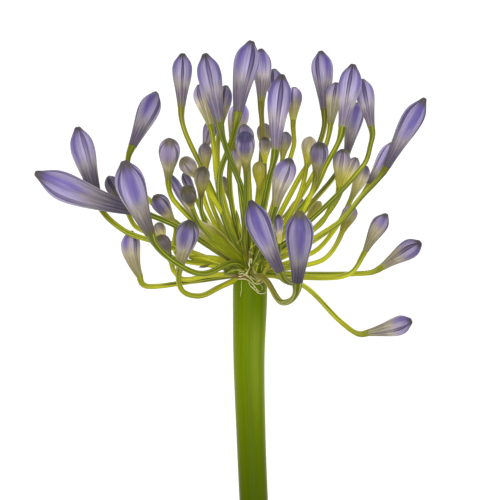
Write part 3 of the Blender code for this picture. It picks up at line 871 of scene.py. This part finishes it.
# Knobs and narrow bracteoles between the pedicels' roots: points, radii at root, middle and end,
# flatness, tone and blush
blades = [
    ([(-3.5, 0, 3), (-7, -0.2, 4.2), (-10.2, -1.9, 4.4)], (2.9, 2.5, 0.7), 1, 1.35, 0.1),
    ([(2.6, -3.6, 7), (3.3, 0.2, 10), (4.4, 4, 12)], (1.6, 1.9, 1.2), 1, 1, 0),
    ([(2.5, -5.6, 6.6), (4.1, -3.9, 13), (5.7, -1.5, 18.5), (6.8, 0.8, 21.5), (7.3, 2.6, 22.5)],
     (0.5, 0.95, 0.4), 0.6, 0, 0),
    ([(0.2, -1.4, 8.6), (2.4, -3.6, 10.5), (4.3, -5.9, 9)], (0.5, 1, 0.3), 0.5, 0.6, 1),
    ([(-4, 0.6, 0.5), (-13, 2.8, -1), (-24.5, 4.2, -1.5)], (2.2, 2.7, 0.6), 0.25, 0, 0.1),
    ([(-1, 3, 7), (-3.6, 13.5, 9), (-5.4, 23, 8)], (0.9, 1.2, 0.2), 0.5, 0.75, 0.1),
    ([(-3, 2, 5), (-9.5, 13, 5), (-13.5, 22, 3)], (0.9, 1.1, 0.2), 0.5, 0.3, 0.3),
    ([(2, 3, 6), (6.5, 12, 9), (10, 22, 8)], (0.9, 1.1, 0.2), 0.5, 0.5, 0.2),
    ([(4, 1, 5), (12, 5.5, 7), (20, 9.5, 5)], (0.9, 1.1, 0.2), 0.5, 0.2, 0.1),
    ([(4.5, -0.5, 3), (12, 0.5, 3), (20, 2, 1)], (0.9, 1.2, 0.2), 0.4, 0.1, 0.2),
    ([(-0.6, 1.2, 8), (-0.2, 5, 10), (0.6, 9, 11)], (0.9, 1, 0.2), 0.5, 0.7, 0.9),
    ([(1.2, 0.2, 8.2), (2.2, 3.6, 10), (3, 7, 10.5)], (0.8, 0.9, 0.2), 0.5, 0.5, 0.8),
    ([(-14.5, 1.8, -0.7), (-17.5, 0.8, 0), (-20.4, 0.3, 0.4)], (0.5, 0.75, 0.15), 0.5, 0.9, 1),
]

blade = {
    "sides": 12,
    "step": 0.9,
    "least": 4,
    "ridge": 0.05,
    "ridges": 5,
    "rough": 0.12,
    "sharp": 60,
}

# The many small ones that are placed by chance: a pair is the least and the most
looseBlades = {
    "count": 34,
    "chance": 77,
    "lean": (12, 68),            # degrees from the head's axis
    "long": (9, 21),
    "lift": (0, 2.5),
    "wide": (0.5, 0.95),
    "start": 3.6,                # from the middle of the dome
    "end": 0.12,
    "flat": 0.35,
    "tone": (0.1, 0.8),
    "blush": (0, 0.1, 0.3, 0.8),    # one of these
}


def makeBlades(material):
    shape = newShape("tone", "blush", "seed")
    chance = random.Random(looseBlades["chance"])
    listed = list(blades)
    for number in range(looseBlades["count"]):
        turn, lean = chance.uniform(0.0, math.tau), math.radians(chance.uniform(*looseBlades["lean"]))
        way = Vector((math.sin(lean) * math.cos(turn), math.cos(lean), math.sin(lean) * math.sin(turn)))
        long, lift = chance.uniform(*looseBlades["long"]), chance.uniform(*looseBlades["lift"])
        start = Vector(stalk["heart"]) + way * looseBlades["start"]
        points = [start, start + way * long * 0.5, start + way * long + Vector((0.0, lift, 0.0))]
        wide = chance.uniform(*looseBlades["wide"])
        listed.append((points, (wide, wide * 1.1, looseBlades["end"]), looseBlades["flat"],
                       chance.uniform(*looseBlades["tone"]), chance.choice(looseBlades["blush"])))
    for number, (points, (root, middle, end), flat, tone, blush) in enumerate(listed):
        points = [Vector(point) for point in points]
        course = smoothCourse(points, waysAlong(points), blade["step"], blade["least"])
        girth = [(0.0, root), (0.5, middle), (0.85, middle * 0.6 + end * 0.4), (1.0, end)]
        radii = []
        for i in range(len(course)):
            rough = 1.0 + blade["rough"] * noise.noise((i * 0.5, number * 3.0, 1.0))
            radii.append(alongTable(girth, i / (len(course) - 1)) * rough)
        addTube(shape, course, radii, blade["sides"], ridge=blade["ridge"], ridges=blade["ridges"],
                flat=flat, tone=tone, blush=blush, seed=number * 5.0)
    print("blades made:", len(listed))
    finishPiece(shape, "blades", material, greenNode, blade["sharp"])


# Scape

scape = {
    "sides": 120,
    "rows": 90,
    "course": [(-120, 3), (-93, 1.5), (-65, 0.35), (-36, -0.4), (-12, 0), (3, 0)],
    "radius": [
        (-120, 5.6), (-93, 5.65), (-65, 5.8), (-36, 6.2), (-12, 6.8), (-5, 6.7), (-2.5, 6.4),
        (0, 5.6), (2, 4), (3, 2.4),
    ],
    "knobs": 0.1,            # how far the dome's knobs stand out, as a share of its radius
    "striation": 0.011,
    "oval": 0.012,
    "cut": [0, 0.35, 0.7, 0.93, 0.985],      # shares of the radius where the cut face has its rings
    "cutRough": 0.25,
    "cutEdge": 0.35,         # height of its rounded edge
    "sharp": 50,
}

scapeLook = {
    "green": (110, 132, 0),
    "deep": (96, 118, 0),
    "fresh": (124, 143, 0),
    "pale": (142, 156, 10),
    "flank": (160, 168, 60),
    "paintedHighlight": (140, 152, 56),         # painted highlight beside the middle
    "top": (130, 132, 20),
    "scar": (110, 86, 36),
    "pith": (206, 214, 158),
    "rim": (132, 158, 60),
    "sheen": (236, 236, 140),
}


def makeScapeSkin():
    look = scapeLook
    material, tree, shader, around, along = startMaterial("scapeSkin", 0.36, 0.12, 1.5)
    turns = around * 6.0
    streak, blotch = grainOf(turns, along, 4.0, 9.0, 3.0)
    fine = grainOf(turns, along, 11.0, 30.0, 12.0)[0]
    broad = grainOf(turns, along, 60.0, 1.6, 0.6)[0]
    colour = mixed(rise(streak, 0.25, 0.75), look["deep"], look["green"])
    colour = mixed(rise(fine, 0.58, 0.8, 0.0, 0.2), colour, look["pale"])
    colour = mixed(rise(broad, 0.35, 0.65, 0.0, 0.35), colour, look["fresh"])
    flank = sums("PINGPONG", around + 0.25, 0.25)           # 0 in front and behind
    # Both flanks are painted paler: painted rim light along the sides of the scape
    colour = mixed(rise(flank, 0.125, 0.215, 0.0, 0.42), colour, look["flank"])
    # A painted highlight down the scape beside its middle, on the side the light comes from
    paintedHighlight = rise(offWhole(around - 0.175), 0.08, 0.01, 0.0, 0.36)
    paintedHighlight *= rise(along, 0.4, 0.68) * rise(along, 0.86, 0.76)
    colour = mixed(paintedHighlight, colour, look["paintedHighlight"])
    colour = mixed(rise(along + streak * 0.02, 0.955, 0.985), colour, look["top"])
    patch = rise(along, 0.965, 0.985) * rise(blotch, 0.45, 0.6, 0.0, 0.7)
    colour = mixed(patch, colour, look["scar"])
    colour = brightened(colour, rise(along, 0.18, 0.68, 0.5, 1.03) * rise(along, 0.73, 0.85, 1.0, 0.9))

    # The cut face: pith with dots in it, and a greener rim
    dots = put(tree, "TexVoronoi", {
        "Vector": put(tree, "TexCoord", output="Object"), "Scale": 900.0, "Randomness": 0.9,
    })
    core = mixed(rise(along, -0.03, -0.012), look["pith"], look["rim"])
    core = mixed(rise(dots, 0.3, 0.12, 0.0, 0.5), core, look["rim"])
    plug(shader, {
        "Base Color": mixed(rise(along, -0.002, -0.012), colour, core),
        "Roughness": rise(streak, 0.2, 0.8, 0.34, 0.46),
        "Specular IOR Level": 0.04,
        "Sheen Weight": 0.3, "Sheen Roughness": 0.3, "Sheen Tint": seen(*look["sheen"]),
        "Normal": raised(fine + streak, 0.3, 0.15),
    })
    return material


def makeScape():
    shape = newShape()
    low, high = scape["course"][0][0], scape["course"][-1][0]
    sides, rows, cut = scape["sides"], scape["rows"], scape["cut"]
    turns = [math.tau * i / sides for i in range(sides + 1)]
    grooves = [noise.noise(ringed(turn, 9.0, 3.0)) for turn in turns[:-1]]

    def place(column, row):
        turn = turns[column]
        if row < len(cut):
            fill, v = cut[row], -0.05 * (1.0 - cut[row])
            along = low + scape["cutRough"] * (noise.noise(ringed(turn, fill * 2.0, 8.0)) + 1.0)
        elif row == len(cut) + rows + 1:
            along, fill, v = high, 0.0, 1.0
        else:
            v = (row - len(cut)) / rows
            along, fill = low + scape["cutEdge"] + (high - low - scape["cutEdge"]) * v, 1.0
        ribbed = 1.0 + scape["striation"] * grooves[column % sides] * ease(-0.01, 0.02, v)
        oval = 1.0 + scape["oval"] * math.cos(2.0 * turn + 0.7)
        oval += scape["knobs"] * noise.noise(ringed(turn, 2.6, along * 0.45)) * ease(-6.0, -1.0, along)
        radius = alongTable(scape["radius"], along) * fill * ribbed * oval
        across = Vector((alongTable(scape["course"], along), 0.0, 0.0))
        return across + roundStem(turn, radius, along), column / sides, v

    addWrapped(shape, sides, len(cut) + rows + 1, place)
    print("scape made")
    finishPiece(shape, "scape", makeScapeSkin(), greenNode, scape["sharp"])


# Papery bract, and the torn rim that its fellow left round the scape

bract = {
    "root": (-1.5, 1.4, 4.5),
    "tip": (-20.4, 17.6, 22),
    "width": 6.4,
    "thick": 0.4,
    "across": 20,
    "along": 44,
    "keel": 0.26,            # how far its middle stands up, as a share of its half width
    "pleats": 0.09,
    "crumple": 0.2,
    "curl": 0.7,             # how far its sides curl up at the torn end
    "rim": {"along": -4.2, "radius": 6.62, "height": 2.6, "least": 0.35, "sides": 96, "rows": 6},
}

bractLook = {
    "leaf": [                # from its root to its torn end
        (0, (112, 122, 6)), (0.35, (136, 146, 8)), (0.68, (136, 146, 8)), (0.84, (166, 160, 84)),
        (1, (206, 190, 172)),
    ],
    "brown": (116, 100, 40),
    "lime": (184, 190, 50),
    "fold": (196, 196, 96),
    "rim": (148, 124, 84),
    "rimFoot": (114, 106, 34),
}


def makeBractPaper():
    look = bractLook
    material, tree, shader, around, along = startMaterial("bractPaper", 0.5, 0.25, 1.0)
    [torn] = attributes(tree, "torn")
    streak = grainOf(around, along, 2.0, 9.0, 2.5)[0]
    fibres = grainOf(around, along, 31.0, 22.0, 3.0)[0]
    darker = grainOf(around, along, 57.0, 13.0, 2.0)[0]
    inside = rise(along, 0.95, 0.75)
    colour = ramp(along + (streak - 0.5) * 0.3, look["leaf"])
    colour = mixed(rise(fibres, 0.52, 0.66, 0.0, 0.8) * inside, colour, look["lime"])
    worn = rise(darker + rise(around, 0.6, 0.9, 0.0, 0.22), 0.52, 0.68, 0.0, 0.6)
    colour = mixed(worn * inside * rise(along, 0.15, 0.45), colour, look["brown"])
    fold = rise(around, 0.88, 0.96, 0.0, 0.75) * rise(along, 0.0, 0.3, 0.3, 1.0)
    colour = mixed(fold, colour, look["fold"])
    rim = mixed(rise(streak, 0.35, 0.6), look["rimFoot"], look["rim"])
    plug(shader, {
        "Base Color": mixed(torn, colour, rim),
        "Normal": raised(streak + fibres, 0.6, 0.25),
    })
    return material


def makeBract():
    root, tip = Vector(bract["root"]), Vector(bract["tip"])
    length, way = (tip - root).length, (tip - root).normalized()
    side = way.cross(Vector((0.0, 0.0, 1.0))).normalized()
    up = side.cross(way)
    shape = newShape("torn")

    def place(column, row):
        across, share = 2.0 * column / bract["across"] - 1.0, row / bract["along"]
        half = 0.5 * bract["width"] * (0.4 + 0.7 * math.sin(math.pi * 0.55 * share))
        half *= 1.0 + 0.12 * noise.noise((share * 5.0, across * 0.7, 20.0))
        ragged = 0.2 * noise.noise((across * 1.7, 5.0, 0.0)) + 0.09 * noise.noise((across * 6.0, 9.0, 0.0))
        out = share * length * (1.0 - (0.08 * across * across - ragged) * share ** 3)
        keel = bract["keel"] * half * (1.0 - across * across)
        keel += bract["crumple"] * noise.noise((across * 1.6, share * 5.0, 1.0))
        keel += bract["pleats"] * math.cos(14.0 * across) * ease(0.05, 0.3, share)
        curl = bract["curl"] * ease(0.75, 1.0, share) * across * across
        point = root + side * (across * half) + way * out + up * (keel + curl)
        return point, column / bract["across"], share

    addWrapped(shape, bract["across"], bract["along"], place, torn=0.0)
    rim = bract["rim"]

    def rimPlace(column, row):
        turn, share = math.tau * column / rim["sides"], row / rim["rows"]
        left = 0.5 - 0.5 * math.cos(turn)                # 1 on the bract's side of the scape
        high = rim["least"] + (rim["height"] - rim["least"]) * left ** 3
        high *= 1.0 + 0.7 * noise.noise(ringed(turn, 4.8, 4.0))
        radius = rim["radius"] + (0.15 + 0.75 * left * share) * share * high
        return roundStem(turn, radius, rim["along"] + high * share), column / 8.0, share * 0.6

    addWrapped(shape, rim["sides"], rim["rows"], rimPlace, torn=1.0)
    piece = finishPiece(shape, "bract", makeBractPaper(), greenNode)
    wall = piece.modifiers.new("wall", "SOLIDIFY")
    wall.thickness = bract["thick"] * mm
    wall.offset = 0.0
    print("bract made")


# Bracteole threads: each has its points as across, along and height over the scape, then its radius
# and how green it is

threads = [
    ([(-6.3, -3.9, 0.2), (-5, -3, 0.6), (-3.9, -3.4, 0.6), (-2.2, -2.8, 0.8), (-0.8, -3.2, 0.9),
      (0.3, -4.3, 0.9), (1.4, -5.7, 0.7), (2.8, -6.4, 0.7), (4.2, -6.1, 0.8), (5.4, -5, 1),
      (7.1, -4.3, 1.4)], 0.27, 0),
    ([(-6, -4.4, 0.2), (-3.6, -4.3, 0.5), (-1.8, -4.4, 0.5), (-0.4, -5, 0.5), (1, -6.4, 0.4),
      (2.1, -7.8, 0.4), (3.5, -9.3, 0.4)], 0.22, 0),
    ([(-0.6, -5.7, 0.4), (0.3, -7.1, 0.4), (1.7, -8.6, 0.3), (3.2, -9.8, 0.3), (5, -10.2, 0.3),
      (6.4, -9.6, 0.3)], 0.2, 0),
    ([(-3.3, -5, 0.3), (-3.4, -7.9, 0.2), (-3.8, -11.4, 0.2)], 0.15, 0.5),
    ([(-0.2, 0.4, 5.5), (-0.2, 2.9, 8.6), (0.1, 3.8, 9.2), (0.7, 3.4, 9), (0.5, 1.8, 7.4)], 0.32, 0),
    ([(2.1, 1.8, 9), (3.5, 1.6, 9.8), (5.1, 1.5, 9.6)], 0.2, 0.1),
    ([(-0.4, 6.8, 10.2), (0.1, 6.1, 10.6), (1.7, 5.6, 10.4)], 0.2, 0.5),
    ([(-3.4, 14, 11), (-3.4, 11.8, 10.6), (-4.7, 10.4, 9), (-5.1, 9.3, 8.6)], 0.14, 0.3),
    ([(1.7, -2.1, 4.6), (2.8, -2.8, 6.4), (2.1, -3.2, 6), (3.2, -3.9, 7.2), (2.3, -4.3, 6.2)], 0.2, 0),
    ([(1, 0.4, 3.2), (1.4, -0.7, 3), (1, -1.7, 2.6)], 0.18, 0.1),
    ([(-2.2, -1.8, 1.6), (-2.9, -2.3, 1.4), (-4.3, -1.8, 1.2), (-3.6, -1, 1.4)], 0.14, 0.3),
    ([(-2.6, -2.8, 1.2), (-1.6, -2, 1.6), (-0.6, -1, 1.8), (0.2, 0.6, 2.2)], 0.22, 0.1),
    ([(0.8, -0.6, 3.6), (2.1, -1.6, 5.8), (3.2, -2.7, 7.6), (4, -3.4, 8.6)], 0.17, 0),
    ([(0, -3, 2), (0.8, -3.9, 2.6), (1.8, -4.6, 3.2), (3, -5.2, 3.4)], 0.18, 0),
    ([(2.4, -5.2, 1.2), (3.6, -5.9, 1.4), (5, -5.4, 1.6), (6.2, -4, 2)], 0.2, 0),
    ([(4.6, -5.6, 1.2), (5.4, -3.8, 2.4), (6, -2.2, 3.6)], 0.16, 0.1),
    ([(4, -6.6, 0.5), (4.9, -7.6, 0.4), (4.6, -8.8, 0.3)], 0.12, 0),
    ([(-4.6, -0.6, 1.6), (-3.4, -1.4, 2.2), (-2.2, -1.2, 2.6)], 0.17, 0.2),
    ([(-2, -0.2, 2.8), (-1, -1.4, 3), (-1.3, -2.6, 2.6), (-0.2, -3.4, 2.2)], 0.17, 0.1),
    ([(-5.2, -1.8, 0.9), (-4.2, -2.4, 1.4), (-2.9, -2.2, 1.8), (-1.6, -2.9, 1.6)], 0.18, 0),
    ([(0.2, 7.4, 10.4), (0.6, 8.4, 10.8), (1.6, 9.1, 11), (2.6, 9.4, 10.8)], 0.13, 0.3),
    ([(3.6, -5.4, 5.6), (5, -3.6, 9), (6, -1.6, 12), (6.7, 0.6, 14.5)], 0.16, 0.2),
    ([(1.2, -7.3, 0.4), (2.4, -8.1, 0.4), (3, -9, 0.5), (4.2, -9.2, 0.4)], 0.13, 0),
    ([(-6.8, -14, 0.1), (-8.4, -16.8, 0.1), (-10.6, -20, 0.1)], 0.07, 0),
    ([(7.4, -11.4, 0.1), (8.4, -13, 0.1), (9.4, -13.6, 0.1)], 0.07, 0),
]

thread = {
    "sides": 8,
    "step": 0.5,
    "least": 2,
    "bare": 0.45,            # its radius at both ends, as a share
    "rough": 0.3,
    "wander": 0.28,          # how far it wanders from its course
}

threadLook = {
    "cream": (214, 208, 134),
    "tip": (236, 231, 178),
    "green": (160, 168, 52),
}


def makeThreadSkin():
    look = threadLook
    material, tree, shader, around, along = startMaterial("threadSkin", 0.5, 0.2, 0.6)
    seed, green = attributes(tree, "seed", "green")
    streak, blotch = grainOf(around, along, seed, 5.0, 4.0)
    colour = mixed(rise(blotch, 0.3, 0.7), look["cream"], look["tip"])
    plug(shader, {
        "Base Color": mixed(green, colour, look["green"]),
        "Normal": raised(streak, 0.3, 0.1),
    })
    return material


def makeThreads():
    shape = newShape("seed", "green")
    for number, (points, radius, green) in enumerate(threads):
        knots = []
        for across, along, height in points:
            girth = alongTable(scape["radius"], along)
            up = math.sqrt(max(0.0, girth * girth - across * across))
            knots.append(Vector((across, along, up + height + radius)))
        course = smoothCourse(knots, waysAlong(knots), thread["step"], thread["least"])
        count = len(course) - 1
        radii = []
        for i, point in enumerate(course):
            fromEnd = min(i, count - i)
            full = thread["bare"] + (1.0 - thread["bare"]) * ease(0.0, 0.25, fromEnd / count + 0.05)
            rough = 1.0 + thread["rough"] * noise.noise((i * 0.6, number * 4.0, 7.0))
            radii.append(radius * full * rough)
            wander = [noise.noise((i * 0.45, number * 9.0 + 0.5, part)) for part in (2.5, 12.5, 22.5)]
            point += Vector(wander) * thread["wander"] * ease(0.0, 3.0, fromEnd)
        addTube(shape, course, radii, thread["sides"], seed=float(number), green=green)
    print("threads made:", len(threads))
    finishPiece(shape, "bracteoles", makeThreadSkin(), greenNode)


# Floor, light and camera

studio = {
    "floor": (120, 120, 120),
    "half": 3,                    # metres from the floor's middle to its sides
    "under": 0.1,                 # how far the floor lies under the lowest point
    "glow": 0.98,                 # light that the floor gives off by itself
    "sky": 0.3,
    "key": {"at": (70, 130, 900), "size": 620, "power": 6},
    "fill": {"at": (-300, 260, 760), "size": 480, "power": 1.1},
    "aim": (0, 20, 10),
}

camera = {
    "at": (0, 7.2, 1100),         # looks straight down the head's own third axis
    "lens": 198,
    "sensor": 36,
    "clip": (0.01, 20),           # metres
}


def makeStudio():
    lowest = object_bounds()[0].z
    shape = bmesh.new()
    bmesh.ops.create_grid(shape, x_segments=1, y_segments=1, size=studio["half"])
    mesh = bpy.data.meshes.new("floor")
    shape.to_mesh(mesh)
    shape.free()
    material = bpy.data.materials.new("floorWhite")
    material.use_nodes = True
    white = seen(255, 255, 255)
    plug(material.node_tree.nodes["Principled BSDF"], {
        "Base Color": seen(*studio["floor"]), "Roughness": 0.9,
        "Emission Color": white, "Emission Strength": studio["glow"],
    })
    mesh.materials.append(material)
    floor = addObject("floor", mesh)
    floor.location.z = lowest - studio["under"] * mm

    world = bpy.data.worlds.new("studioWorld")
    bpy.context.scene.world = world
    world.use_nodes = True
    plug(world.node_tree.nodes["Background"], {"Color": white, "Strength": studio["sky"]})

    aim = headFrame @ Vector(studio["aim"])
    for name in ("key", "fill"):
        light = bpy.data.lights.new(name, "AREA")
        light.shape = "DISK"
        light.size = studio[name]["size"] * mm
        light.energy = studio[name]["power"]
        lamp = addObject(name, light)
        lamp.location = headFrame @ Vector(studio[name]["at"])
        lamp.rotation_euler = (aim - lamp.location).to_track_quat("-Z", "Y").to_euler()

    lens = bpy.data.cameras.new("photoCamera")
    lens.lens = camera["lens"]
    lens.sensor_width = camera["sensor"]
    lens.clip_start, lens.clip_end = camera["clip"]
    eye = addObject("photoCamera", lens)
    eye.location = headFrame @ Vector(camera["at"])
    eye.rotation_euler = (math.radians(head["lean"]), 0.0, 0.0)
    bpy.context.scene.camera = eye
    bpy.context.scene.view_settings.view_transform = "Standard"
    print("studio made")


makeBuds()
stalkSkin = makeStalkSkin()
makePedicels(stalkSkin)
makeBlades(stalkSkin)
makeScape()
makeBract()
makeThreads()
makeStudio()
